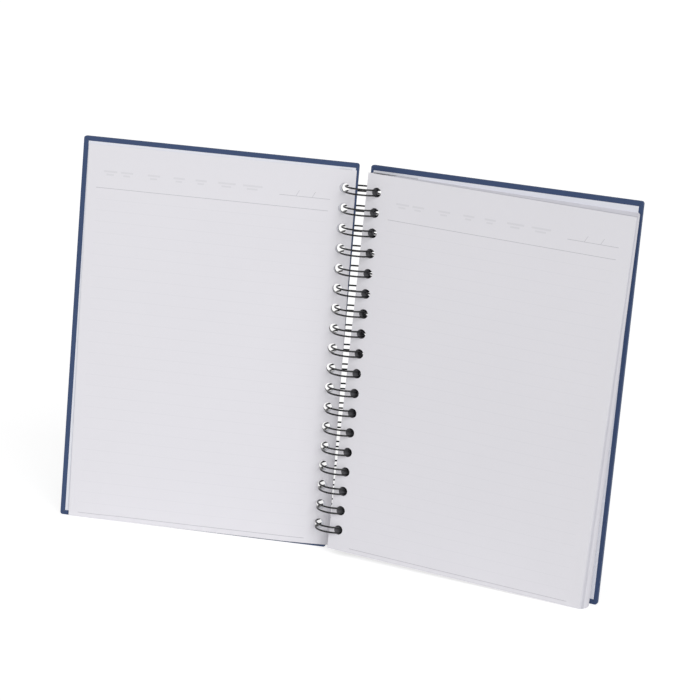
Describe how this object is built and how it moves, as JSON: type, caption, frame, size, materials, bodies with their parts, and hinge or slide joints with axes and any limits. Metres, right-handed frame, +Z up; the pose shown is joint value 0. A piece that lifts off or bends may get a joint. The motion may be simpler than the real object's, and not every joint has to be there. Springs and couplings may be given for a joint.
{
  "type": "wire-bound notebook",
  "caption": "Hardcover notebook bound by a black twin-loop wire, standing open with dark blue covers, white endpapers and square-cut leaves.",
  "frame": {"origin": "middle of the open notebook's footprint, on the surface that it stands on", "axes": "+X to the reader's right, from the front cover to the back cover; +Y away from the reader; +Z up the page"},
  "size_m": [0.3562, 0.0402, 0.248],
  "materials": {
    "board": "matte",
    "wrap": "matte",
    "endpaper": "matte",
    "leaves": "matte",
    "wire": "gloss"
  },
  "bodies": {
    "back_half": {"back_board": "board", "back_wrap": "wrap", "back_endpaper": "endpaper", "back_leaves": "leaves"},
    "front_half": {"front_board": "board", "front_wrap": "wrap", "front_endpaper": "endpaper", "front_leaves": "leaves"},
    "wire": {"binding_wire": "wire"}
  },
  "joints": [
    {"name": "cover_swing", "type": "hinge", "parent": "back_half", "child": "front_half", "pos_m": [0.00116, 0.00833, 0], "axis": [0, 0, 1], "range_deg": [-60, 163]},
    {"name": "wire_turn", "type": "hinge", "parent": "back_half", "child": "wire", "pos_m": [0.00116, 0.00833, 0], "axis": [0, 0, 1], "range_deg": [-30, 81.5]}
  ],
  "couplings": [
    {"joint": "wire_turn", "follows": "cover_swing", "ratio": 0.5}
  ]
}
